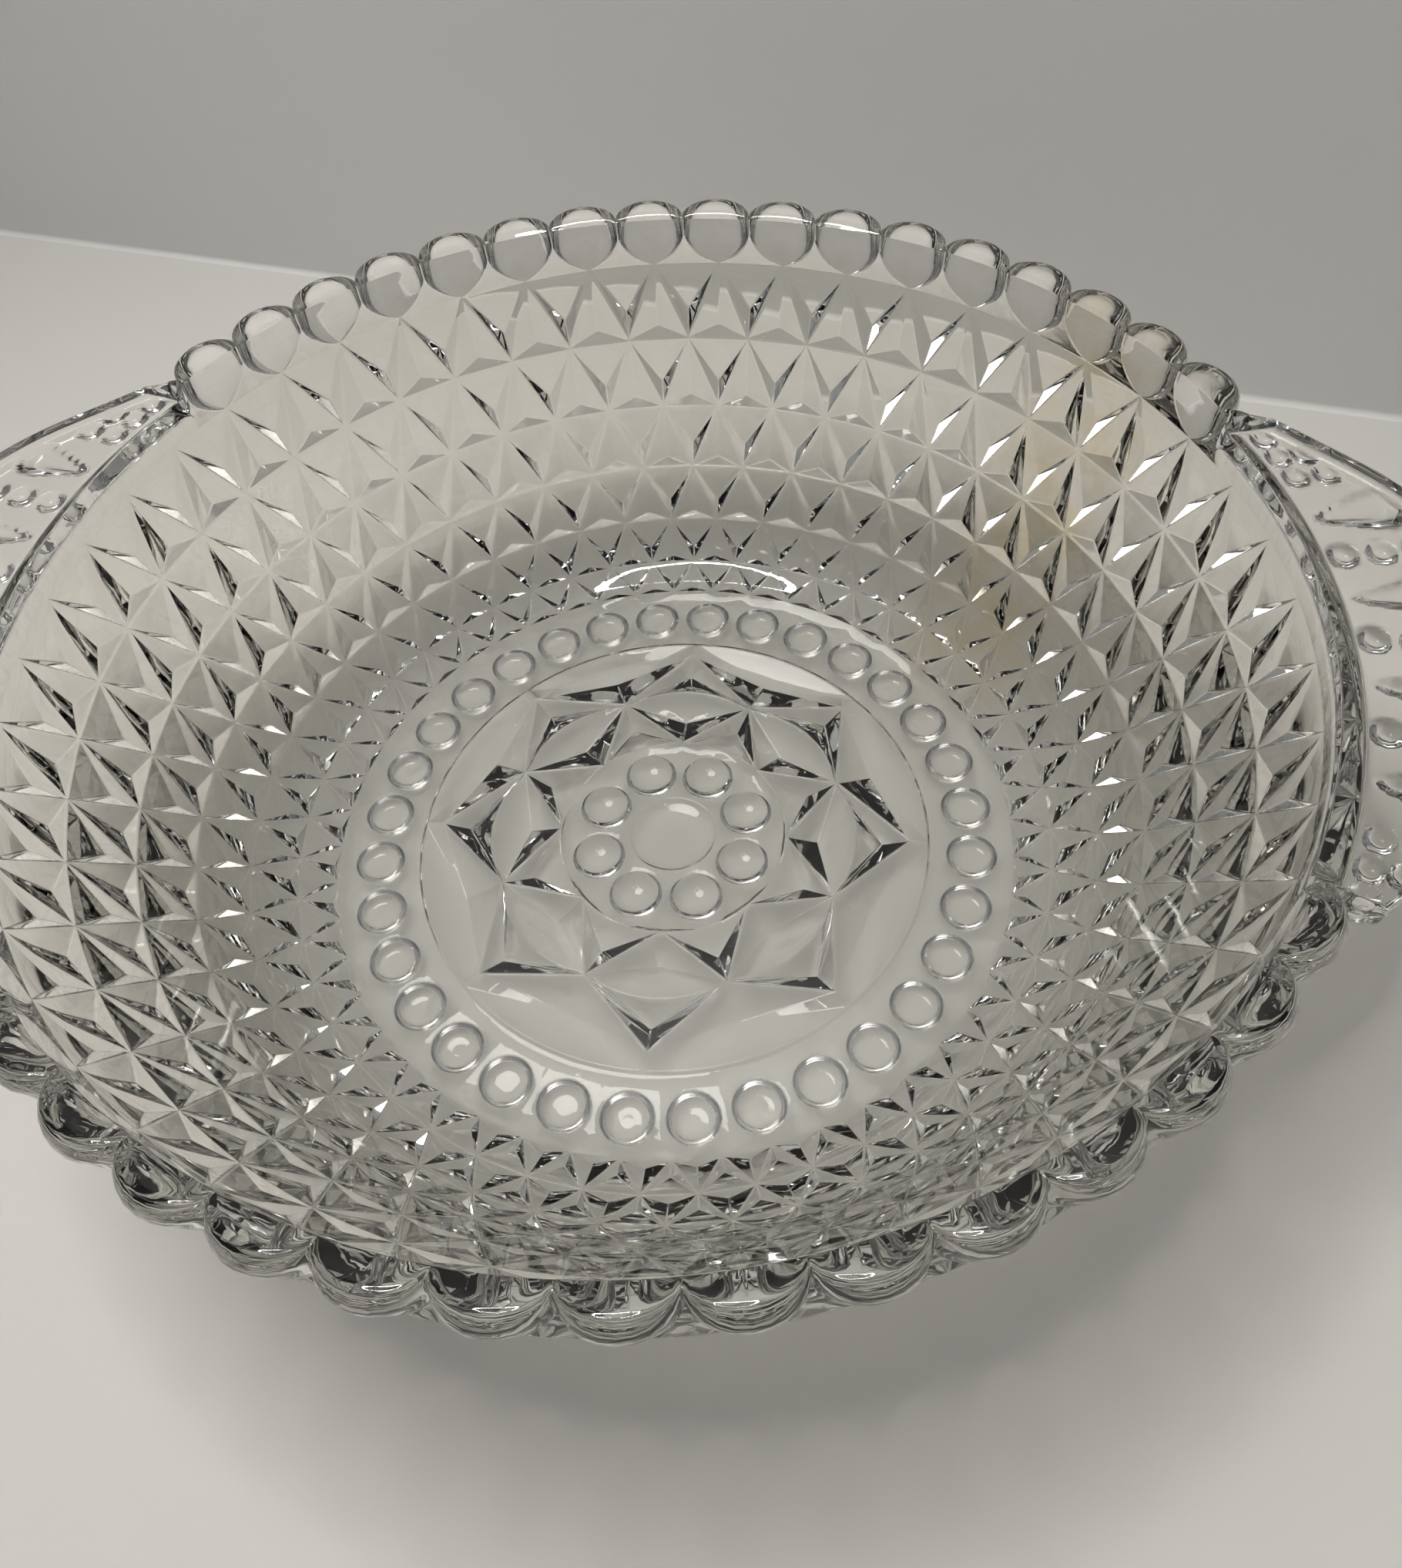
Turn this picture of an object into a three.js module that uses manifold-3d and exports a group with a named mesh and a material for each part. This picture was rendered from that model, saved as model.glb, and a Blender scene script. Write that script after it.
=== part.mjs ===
// A round pressed-glass bowl: a faceted lattice wall, a scalloped rim, a beaded foot, a star
// medallion in its base and two tab handles. Millimetres, +Z up. The origin is the centre of
// the plane that the bowl rests on, and the handles lie along X.
//
// The real bowl is one piece of glass. It is divided here along the borders of its mould and
// its pattern: the base disc, the beaded foot ring, four wall quarters that meet at the mould
// seams, the two scalloped rim arcs and the two handles.
import * as THREE from 'three';
import { mergeVertices } from 'three/addons/utils/BufferGeometryUtils.js';
import Module from 'manifold-3d';

const wasm = await Module();
wasm.setup();

// ---- the bowl ----
const DEGREE = Math.PI / 180;
const PITCHES = 48; // repeats of the pattern round the bowl
const PITCH = 360 * DEGREE / PITCHES;
const SEAM_GAP = 0.3; // between neighbouring zones

// ---- wall ----
const FLARE = 23.2 * DEGREE; // lean of the straight upper wall
const BAND_HEIGHT = 64; // where the wall ends and the rim begins
const OUTSIDE = { bandRadius: 106.5, heelRadius: 38, blendHeight: 24.6 };
const INSIDE = { bandRadius: 101.6, heelRadius: 34, blendHeight: 25 };
const ROW_HEIGHTS = [BAND_HEIGHT, 49.7, 36.4, 23.9, 13.6, 7.2, 3.6]; // lattice rows, rim to foot
const PEAK_SHARE = 0.16; // a facet peak's rise, as a share of its triangle's base
const DOWN_PEAK = 0.62; // how far down a rim-side triangle its peak lies
const UP_PEAK = 0.84; // the same for a triangle that points at the rim

// ---- foot ----
const FLOOR_TOP = 7.2;
const FLOOR_UNDERSIDE = 2.8;
const BEADS = 32;
const BEAD_RING_RADIUS = 59;
const BEAD = { radius: 4.6, flatRadius: 2.3, shoulder: 1.5, bevelOut: 0.6, bevelUp: 0.3 };
const BEAD_SEGMENTS = 10;
const BEAD_ROOT = 1; // how far a bead reaches up into the ring
const FOOT_RADIUS = 66.4;
const FOOT_CHAMFER = 2;
const MEDALLION_RADIUS = 50.5;

// ---- star medallion ----
const STAR_POINTS = 8;
const STAR_TURN = 2.2 * DEGREE; // the star sits slightly turned from the handles' axis
const STAR = { tip: 47, crossing: 35, curve: 36.6, inner: 22.5 };
const STAR_PEAK = { border: 42.5, tip: 41.8, petal: 29, inner: 28.8 };
const GROOVE_HEIGHT = 3.8;
const PEAK_HEIGHT = 1.1;
const ROSETTE = { ringRadius: 15.4, domeRadius: 5.15, centreRadius: 8.6, drop: 2.1 };
const DOME_SHARES = [[0, 1], [0.45, 0.88], [0.8, 0.55], [1, -0.05]]; // of the radius and of the drop
const DOME_SEGMENTS = 12;
const DOME_ROOT = 0.5; // how far a dome reaches past the grooves into the disc

// ---- rim and handles ----
const RIM_TOP = 76.7;
const CUSP_TOP = 75.3;
const LOBE_BULGE = 4.6;
const RIM_INNER_RADIUS = 102.9;
const RIM_CUSP_RADIUS = 104.8;
const RIM_FOOT_RADIUS = 101.7; // of the inside, where the rim meets the wall
const RIM_LEVELS = [68, 71.5, 74.3]; // heights on the lobes' outer side
const RIM_INNER_HEIGHT = 74.7;
const CROWN_SHARE = 0.6; // how far out across the rim its crown lies
const LOBES_PER_ARC = 17;
const HANDLE_PITCHES = PITCHES / 2 - LOBES_PER_ARC;
const HANDLE_HALF_ANGLE = HANDLE_PITCHES * PITCH / 2;
const HANDLE_TIP = { centre: 80, radius: 50, tangent: 48.4 * DEGREE };
const HANDLE_TOP = 72.8;
const HANDLE_UNDERSIDE = 67.4;
const HANDLE_ROOT = { radius: 106.9, height: 66.4, fillet: 0.4 };
const HANDLE_LIP = { radius: 103, height: 72.3 };
const HANDLE_EDGE = 1.2; // bevel round the tab's edge
const PETAL_DROP = 1.3;
const PETAL_RUN = 12; // the petals fade where the tab is shorter than this
const UNDERSIDE_SHARES = [0, 0.35, 0.7, 1];

// ---- helpers ----
const at = (radius, angle, height) => [radius * Math.cos(angle), radius * Math.sin(angle), height];
const mix = (from, to, share) => from + (to - from) * share;
const smooth = (share) => share * share * (3 - 2 * share);

function solidFromTriangles(points, triangles) {
  return new wasm.Manifold(new wasm.Mesh({
    numProp: 3,
    vertProperties: new Float32Array(points.flat()),
    triVerts: new Uint32Array(triangles.flat()),
  }));
}

function solidFromGeometry(geometry) {
  const bare = geometry.clone();
  bare.deleteAttribute('normal');
  bare.deleteAttribute('uv');
  const merged = mergeVertices(bare, 1e-4);
  return new wasm.Manifold(new wasm.Mesh({
    numProp: 3,
    vertProperties: new Float32Array(merged.attributes.position.array),
    triVerts: new Uint32Array(merged.index.array),
  }));
}

// A solid turned about the Z axis from a profile of [radius, height] points that starts and
// ends on the axis or closes on itself.
function turned(profile, segments) {
  const geometry = new THREE.LatheGeometry(profile.map(([r, z]) => new THREE.Vector2(r, z)), segments);
  geometry.rotateX(Math.PI / 2);
  return solidFromGeometry(geometry);
}

// A bar whose closed sections stand one after another along an arc, with flat ends.
function sweptSections(sections) {
  const size = sections[0].length;
  const triangles = [];
  for (let s = 0; s + 1 < sections.length; s += 1) {
    for (let k = 0; k < size; k += 1) {
      const a = s * size + k;
      const b = s * size + (k + 1) % size;
      triangles.push([a, b + size, b], [a, a + size, b + size]);
    }
  }
  const flat = sections[0].map(([r, , z]) => new THREE.Vector2(r, z));
  const cap = THREE.ShapeUtils.triangulateShape(flat, []);
  const last = (sections.length - 1) * size;
  for (const [a, b, c] of cap) {
    triangles.push([a, b, c], [last + c, last + b, last + a]);
  }
  const points = sections.flat().map(([r, angle, z]) => at(r, angle, z));
  return solidFromTriangles(points, triangles);
}

function meshOf(name, solid) {
  const { numProp, vertProperties, triVerts } = solid.getMesh();
  const position = new Float32Array(triVerts.length * 3);
  triVerts.forEach((vertex, i) => {
    for (let axis = 0; axis < 3; axis += 1) {
      position[i * 3 + axis] = vertProperties[vertex * numProp + axis];
    }
  });
  const geometry = new THREE.BufferGeometry();
  geometry.setAttribute('position', new THREE.BufferAttribute(position, 3));
  geometry.computeVertexNormals();
  const mesh = new THREE.Mesh(geometry, clearGlass());
  mesh.name = name;
  return mesh;
}

function clearGlass() {
  return new THREE.MeshStandardMaterial({
    color: 0xe9ece6, roughness: 0.04, metalness: 0, transparent: true, opacity: 0.35,
  });
}

// ---- wall ----
// The wall's section is a straight flare above a round heel that it meets without a corner.
function wallRadius({ bandRadius, heelRadius, blendHeight }, height) {
  const lineRadius = (z) => bandRadius - (BAND_HEIGHT - z) * Math.tan(FLARE);
  if (height >= blendHeight) return lineRadius(height);
  const centreRadius = lineRadius(blendHeight) - heelRadius * Math.cos(FLARE);
  const centreHeight = blendHeight + heelRadius * Math.sin(FLARE);
  return centreRadius + Math.sqrt(heelRadius ** 2 - (centreHeight - height) ** 2);
}

function innerHeightOpposite(height) {
  const foot = ROW_HEIGHTS[ROW_HEIGHTS.length - 1];
  return mix(FLOOR_TOP, BAND_HEIGHT, (height - foot) / (BAND_HEIGHT - foot));
}

// A pyramid's peak: a blend of its triangle's corners, raised off the triangle's outer face.
function raisedPeak(corners, weights) {
  const [a, b, c] = corners.map((corner) => new THREE.Vector3(...corner));
  const normal = new THREE.Vector3().subVectors(b, a).cross(new THREE.Vector3().subVectors(c, a));
  const peak = new THREE.Vector3();
  [a, b, c].forEach((corner, i) => peak.addScaledVector(corner, weights[i]));
  const rise = PEAK_SHARE * a.distanceTo(b);
  return peak.addScaledVector(normal.normalize(), rise).toArray();
}

function latticeWall() {
  const points = [];
  const triangles = [];
  const outer = (row, k) => row * PITCHES + (k + PITCHES) % PITCHES;
  const inner = (row, k) => ROW_HEIGHTS.length * PITCHES + outer(row, k);
  const rowAngle = (row, k) => (k + (row % 2) / 2) * PITCH;
  ROW_HEIGHTS.forEach((height, row) => {
    for (let k = 0; k < PITCHES; k += 1) {
      points.push(at(wallRadius(OUTSIDE, height), rowAngle(row, k), height));
    }
  });
  ROW_HEIGHTS.forEach((height, row) => {
    const opposite = innerHeightOpposite(height);
    for (let k = 0; k < PITCHES; k += 1) {
      points.push(at(wallRadius(INSIDE, opposite), rowAngle(row, k), opposite));
    }
  });
  const addPyramid = (a, b, c, weights) => {
    const peak = points.length;
    points.push(raisedPeak([points[a], points[b], points[c]], weights));
    triangles.push([a, b, peak], [b, c, peak], [c, a, peak]);
  };
  const lastRow = ROW_HEIGHTS.length - 1;
  for (let row = 0; row < lastRow; row += 1) {
    const shift = row % 2; // the row below is offset half a pitch the other way
    for (let k = 0; k < PITCHES; k += 1) {
      const below = k + shift;
      const side = (1 - DOWN_PEAK) / 2;
      const foot = UP_PEAK / 2;
      const [left, right] = [outer(row, k), outer(row, k + 1)];
      const [belowLeft, belowRight] = [outer(row + 1, below - 1), outer(row + 1, below)];
      addPyramid(right, left, belowRight, [side, side, DOWN_PEAK]);
      addPyramid(belowLeft, belowRight, left, [foot, foot, 1 - UP_PEAK]);
      triangles.push([inner(row, k), inner(row, k + 1), inner(row + 1, below)]);
      triangles.push([inner(row + 1, below), inner(row + 1, below - 1), inner(row, k)]);
    }
  }
  for (let k = 0; k < PITCHES; k += 1) {
    const strip = (row) => [outer(row, k), outer(row, k + 1), inner(row, k + 1), inner(row, k)];
    const [a, b, c, d] = strip(0);
    triangles.push([a, b, c], [a, c, d]);
    const [e, f, g, h] = strip(lastRow);
    triangles.push([e, g, f], [e, h, g]);
  }
  return solidFromTriangles(points, triangles);
}

// A quarter-turn wedge about the Z axis, facing the given angle, drawn back from its neighbours.
function quarterWedge(facing) {
  const reach = 160; // further out than the wall
  const margin = 10; // above and below it
  const setBack = SEAM_GAP / Math.SQRT2;
  const shape = new THREE.Shape([
    new THREE.Vector2(setBack, 0),
    new THREE.Vector2(reach + setBack, -reach),
    new THREE.Vector2(reach + setBack, reach),
  ]);
  const depth = RIM_TOP + 2 * margin;
  const geometry = new THREE.ExtrudeGeometry(shape, { depth, bevelEnabled: false });
  geometry.translate(0, 0, -margin);
  geometry.rotateZ(facing);
  return solidFromGeometry(geometry);
}

function wallQuarter(wall, facing) {
  return wall.intersect(quarterWedge(facing));
}

// ---- foot ----
function beadProfile({ radius, flatRadius, shoulder, bevelOut, bevelUp }) {
  return [
    [0, 0],
    [flatRadius, 0],
    [mix(flatRadius, radius, bevelOut), shoulder * bevelUp],
    [radius, shoulder],
    [radius, FLOOR_UNDERSIDE + BEAD_ROOT],
    [0, FLOOR_UNDERSIDE + BEAD_ROOT],
  ];
}

function beadedFootRing() {
  const inner = MEDALLION_RADIUS + SEAM_GAP;
  let ring = turned([
    [inner, FLOOR_UNDERSIDE],
    [FOOT_RADIUS - FOOT_CHAMFER, FLOOR_UNDERSIDE],
    [FOOT_RADIUS, ROW_HEIGHTS[ROW_HEIGHTS.length - 1]],
    [FOOT_RADIUS, FLOOR_TOP],
    [inner, FLOOR_TOP],
    [inner, FLOOR_UNDERSIDE],
  ], PITCHES);
  const bead = turned(beadProfile(BEAD), BEAD_SEGMENTS);
  for (let k = 0; k < BEADS; k += 1) {
    ring = ring.add(bead.translate(at(BEAD_RING_RADIUS, k * 2 * Math.PI / BEADS, 0)));
  }
  return ring;
}

// ---- star medallion ----
// Each sector holds four raised fields between the star's grooves: one against the border, the
// star's tip, the petal inside it and the kite between two petals.
function starDisc() {
  const points = [];
  const triangles = [];
  const sector = 2 * Math.PI / STAR_POINTS;
  const borderSteps = 4;
  const put = (radius, angle, height) => points.push(at(radius, angle + STAR_TURN, height)) - 1;
  const border = [];
  const rings = { tip: [], crossing: [], curve: [], inner: [], between: [] };
  for (let k = 0; k < STAR_POINTS; k += 1) {
    for (let step = 0; step < borderSteps; step += 1) {
      border.push(put(MEDALLION_RADIUS, (k + step / borderSteps) * sector, FLOOR_UNDERSIDE));
    }
    rings.tip.push(put(STAR.tip, k * sector, GROOVE_HEIGHT));
    rings.crossing.push(put(STAR.crossing, (k + 0.5) * sector, GROOVE_HEIGHT));
    rings.curve.push(put(STAR.curve, k * sector, GROOVE_HEIGHT));
    rings.inner.push(put(STAR.inner, k * sector, GROOVE_HEIGHT));
    rings.between.push(put(STAR.inner, (k + 0.5) * sector, FLOOR_UNDERSIDE));
  }
  const raiseField = (outline, radius, angle) => {
    const peak = put(radius, angle, PEAK_HEIGHT);
    outline.forEach((corner, i) => triangles.push([outline[(i + 1) % outline.length], corner, peak]));
  };
  const centre = put(0, 0, FLOOR_UNDERSIDE);
  for (let k = 0; k < STAR_POINTS; k += 1) {
    const next = (k + 1) % STAR_POINTS;
    const before = (k + STAR_POINTS - 1) % STAR_POINTS;
    const { tip, crossing, curve, inner, between } = rings;
    const arc = [];
    for (let i = 0; i <= borderSteps; i += 1) arc.push(border[(k * borderSteps + i) % border.length]);
    raiseField([tip[k], ...arc, tip[next], crossing[k]], STAR_PEAK.border, (k + 0.5) * sector);
    raiseField([tip[k], crossing[k], curve[k], crossing[before]], STAR_PEAK.tip, k * sector);
    raiseField([curve[k], crossing[k], inner[k], crossing[before]], STAR_PEAK.petal, k * sector);
    raiseField([crossing[k], inner[next], between[k], inner[k]], STAR_PEAK.inner, (k + 0.5) * sector);
    triangles.push([between[k], inner[k], centre], [inner[next], between[k], centre]);
  }
  const top = border.map((corner) => points.push([points[corner][0], points[corner][1], FLOOR_TOP]) - 1);
  const topCentre = points.push([0, 0, FLOOR_TOP]) - 1;
  border.forEach((corner, i) => {
    const j = (i + 1) % border.length;
    triangles.push([corner, border[j], top[j]], [corner, top[j], top[i]], [top[i], top[j], topCentre]);
  });
  return solidFromTriangles(points, triangles);
}

function starMedallion() {
  const dome = (radius, drop) => turned([
    ...DOME_SHARES.map(([out, down]) => [radius * out, FLOOR_UNDERSIDE - drop * down]),
    [radius, GROOVE_HEIGHT + DOME_ROOT],
    [0, GROOVE_HEIGHT + DOME_ROOT],
  ], DOME_SEGMENTS);
  let disc = starDisc().add(dome(ROSETTE.centreRadius, ROSETTE.drop / 2));
  for (let k = 0; k < STAR_POINTS; k += 1) {
    const angle = (k + 0.5) * 2 * Math.PI / STAR_POINTS + STAR_TURN;
    const place = at(ROSETTE.ringRadius, angle, 0);
    disc = disc.add(dome(ROSETTE.domeRadius, ROSETTE.drop).translate(place));
  }
  return disc;
}

// ---- rim ----
// A lobe bulges outwards between two cusps. It is as wide as its pitch at the top and narrows to
// a point at the band.
function lobeBulge(acrossLobe, height) {
  const rise = Math.min(1, (height - BAND_HEIGHT) / (CUSP_TOP - BAND_HEIGHT));
  const halfWidth = Math.sqrt(Math.max(rise, 0.001));
  const offCentre = Math.abs(2 * acrossLobe - 1) / halfWidth;
  return LOBE_BULGE * Math.sqrt(rise) * Math.max(0, 1 - offCentre ** 2);
}

function rimSection(angle, acrossLobe) {
  const bottom = BAND_HEIGHT + SEAM_GAP;
  const top = mix(CUSP_TOP, RIM_TOP, 1 - (2 * acrossLobe - 1) ** 2);
  const outerRadius = (z) => {
    const share = (z - BAND_HEIGHT) / (CUSP_TOP - BAND_HEIGHT);
    return mix(OUTSIDE.bandRadius, RIM_CUSP_RADIUS, share) + lobeBulge(acrossLobe, z);
  };
  const crownRadius = mix(RIM_INNER_RADIUS, outerRadius(CUSP_TOP), CROWN_SHARE);
  return [
    ...[bottom, ...RIM_LEVELS].map((z) => [outerRadius(z), angle, z]),
    [crownRadius, angle, top],
    [RIM_INNER_RADIUS, angle, RIM_INNER_HEIGHT],
    [RIM_FOOT_RADIUS, angle, bottom],
  ];
}

function scallopedArc(facing) {
  const stepsPerLobe = 4;
  const steps = LOBES_PER_ARC * stepsPerLobe;
  const halfAngle = LOBES_PER_ARC * PITCH / 2 - SEAM_GAP / 2 / RIM_CUSP_RADIUS;
  const sections = [];
  for (let i = 0; i <= steps; i += 1) {
    const angle = facing + mix(-halfAngle, halfAngle, i / steps);
    sections.push(rimSection(angle, (i % stepsPerLobe) / stepsPerLobe));
  }
  return sweptSections(sections);
}

// ---- handles ----
// The tab's outline is a round tip between two straight shoulders that run back to the rim.
function handleReach(angle) {
  const { centre, radius, tangent } = HANDLE_TIP;
  const shoulder = [centre + radius * Math.cos(tangent), radius * Math.sin(tangent)];
  if (Math.abs(angle) < Math.atan2(shoulder[1], shoulder[0])) {
    return centre * Math.cos(angle) + Math.sqrt(radius ** 2 - (centre * Math.sin(angle)) ** 2);
  }
  const distance = shoulder[0] * Math.cos(tangent) + shoulder[1] * Math.sin(tangent);
  return distance / Math.cos(Math.abs(angle) - tangent);
}

function handleSection(facing, angle) {
  const place = (radius, z) => [radius, facing + angle, z];
  const root = HANDLE_ROOT.radius;
  const reach = Math.max(handleReach(angle), RIM_CUSP_RADIUS + LOBE_BULGE);
  const wave = Math.abs(Math.sin(angle / HANDLE_HALF_ANGLE * Math.PI * 2));
  const petals = PETAL_DROP * wave * smooth(Math.min(1, (reach - root) / PETAL_RUN));
  const underside = (share) => {
    const radius = mix(root + HANDLE_ROOT.fillet, reach - HANDLE_EDGE, share);
    return place(radius, HANDLE_UNDERSIDE - petals * Math.sin(share * Math.PI));
  };
  const topFace = (share) => place(mix(root, reach - HANDLE_EDGE, share), HANDLE_TOP);
  return [
    place(OUTSIDE.bandRadius, BAND_HEIGHT + SEAM_GAP),
    place(root, HANDLE_ROOT.height),
    ...UNDERSIDE_SHARES.map(underside),
    place(reach, (HANDLE_UNDERSIDE + HANDLE_TOP) / 2),
    topFace(1),
    topFace(0.5),
    topFace(0),
    place(HANDLE_LIP.radius, HANDLE_LIP.height),
    place(RIM_FOOT_RADIUS, BAND_HEIGHT + SEAM_GAP),
  ];
}

function tabHandle(facing) {
  const steps = 28;
  const halfAngle = HANDLE_HALF_ANGLE - SEAM_GAP / 2 / RIM_CUSP_RADIUS;
  const sections = [];
  for (let i = 0; i <= steps; i += 1) {
    sections.push(handleSection(facing, mix(-halfAngle, halfAngle, i / steps)));
  }
  return sweptSections(sections);
}

// ---- the bowl, put together ----
const RIGHT = 0;
const BACK = 90 * DEGREE;
const LEFT = 180 * DEGREE;
const FRONT = 270 * DEGREE;

const wall = latticeWall();
const bowl = new THREE.Group();
bowl.add(meshOf('star_medallion', starMedallion()));
bowl.add(meshOf('beaded_foot_ring', beadedFootRing()));
bowl.add(meshOf('wall_quarter_right', wallQuarter(wall, RIGHT)));
bowl.add(meshOf('wall_quarter_back', wallQuarter(wall, BACK)));
bowl.add(meshOf('wall_quarter_left', wallQuarter(wall, LEFT)));
bowl.add(meshOf('wall_quarter_front', wallQuarter(wall, FRONT)));
bowl.add(meshOf('scalloped_rim_back', scallopedArc(BACK)));
bowl.add(meshOf('scalloped_rim_front', scallopedArc(FRONT)));
bowl.add(meshOf('handle_right', tabHandle(RIGHT)));
bowl.add(meshOf('handle_left', tabHandle(LEFT)));

export default bowl;
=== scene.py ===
# %% [markdown]
# # A pressed-glass bowl with two tab handles
#
# The bowl is a single pressing: hot glass squeezed between a patterned outer mould and a smooth
# plunger. So the inside is smooth, every part of the pattern stands on the outside, and there is
# no joint anywhere in it. This lesson builds it as one continuous, watertight skin, patch by
# patch, and each patch repeats round the bowl's axis.

# %% Load the fixed frame
import math

import bmesh
import bpy
from mathutils import Matrix, Vector


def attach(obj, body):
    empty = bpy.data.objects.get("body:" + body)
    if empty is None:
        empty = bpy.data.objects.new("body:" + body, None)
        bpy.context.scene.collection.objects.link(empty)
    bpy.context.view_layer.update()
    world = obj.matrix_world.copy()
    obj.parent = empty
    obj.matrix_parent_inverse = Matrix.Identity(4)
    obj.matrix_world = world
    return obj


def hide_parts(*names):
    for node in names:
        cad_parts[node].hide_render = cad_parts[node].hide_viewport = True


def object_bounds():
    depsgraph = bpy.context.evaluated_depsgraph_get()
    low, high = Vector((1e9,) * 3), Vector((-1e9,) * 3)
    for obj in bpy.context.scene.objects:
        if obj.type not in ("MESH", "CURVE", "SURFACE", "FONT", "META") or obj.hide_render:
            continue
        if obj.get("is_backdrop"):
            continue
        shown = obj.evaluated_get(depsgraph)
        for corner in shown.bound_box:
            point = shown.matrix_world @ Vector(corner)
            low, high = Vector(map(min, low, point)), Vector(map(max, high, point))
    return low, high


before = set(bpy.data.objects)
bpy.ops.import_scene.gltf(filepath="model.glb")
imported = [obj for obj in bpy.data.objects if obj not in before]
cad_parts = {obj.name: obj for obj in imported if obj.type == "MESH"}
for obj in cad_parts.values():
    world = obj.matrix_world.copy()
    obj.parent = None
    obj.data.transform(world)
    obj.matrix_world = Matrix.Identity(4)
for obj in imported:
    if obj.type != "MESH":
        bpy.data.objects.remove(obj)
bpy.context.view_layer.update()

# %% [markdown]
# ## Sizes
# The sizes are the ones that the solids of the frame were made with, in millimetres. Forty-eight
# pitches go round the bowl, and most of the pattern is counted in them.

# %% The bowl's sizes
MM = 0.001
DEGREE = math.pi / 180
PITCHES = 48
PITCH = 2 * math.pi / PITCHES

FLARE = 23.2 * DEGREE
BAND_HEIGHT = 64.0
OUTSIDE = {"band_radius": 106.5, "heel_radius": 38.0, "blend_height": 24.6}
INSIDE = {"band_radius": 101.6, "heel_radius": 34.0, "blend_height": 25.0}
ROW_HEIGHTS = [BAND_HEIGHT, 49.7, 36.4, 23.9, 13.6, 7.2, 3.6]

FLOOR_TOP = 7.2
FLOOR_UNDERSIDE = 2.8
RIM_TOP = 76.7
CUSP_TOP = 75.2
RIM_INNER_RADIUS = 102.9
INNER_EDGE_HEIGHT = 75.0


def at(radius, angle, height):
    return (radius * math.cos(angle), radius * math.sin(angle), height)


def mix(start, end, share):
    return start + (end - start) * share


def smooth(share):
    share = min(1.0, max(0.0, share))
    return share * share * (3 - 2 * share)


def steps(start, end, count):
    return [mix(start, end, i / count) for i in range(count + 1)]


def wall_radius(profile, height):
    """The wall is a straight flare above a round heel that it meets without a corner."""
    def line(z):
        return profile["band_radius"] - (BAND_HEIGHT - z) * math.tan(FLARE)
    heel, blend = profile["heel_radius"], profile["blend_height"]
    if height >= blend:
        return line(height)
    centre_radius = line(blend) - heel * math.cos(FLARE)
    centre_height = blend + heel * math.sin(FLARE)
    return centre_radius + math.sqrt(heel ** 2 - (centre_height - height) ** 2)


print("outside radius at the foot", round(wall_radius(OUTSIDE, ROW_HEIGHTS[-1]), 2), "mm")

# %% [markdown]
# ## A skin made of faces
# A glass surface needs shared corners, or light leaks through it. The class below takes faces as
# lists of points and gives one vertex to points that fall together.
#
# Two kinds of face are told apart. A smooth face belongs to a rounded surface. A facet is a flat
# cut of the mould. Its borders are never knife sharp on pressed glass, so each facet gets a narrow
# strip along its borders, over which its shading later curls towards the neighbouring facet.

# %% Skins
GROOVE_SHARE = 1.6  # a strip beside a groove, against one beside a ridge
STRIP_LIMIT = 0.3  # of the facet's mean width
PEAK_LIMIT = 0.45  # of the way from a corner to the middle
ALMOST_STRAIGHT = 0.98


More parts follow.
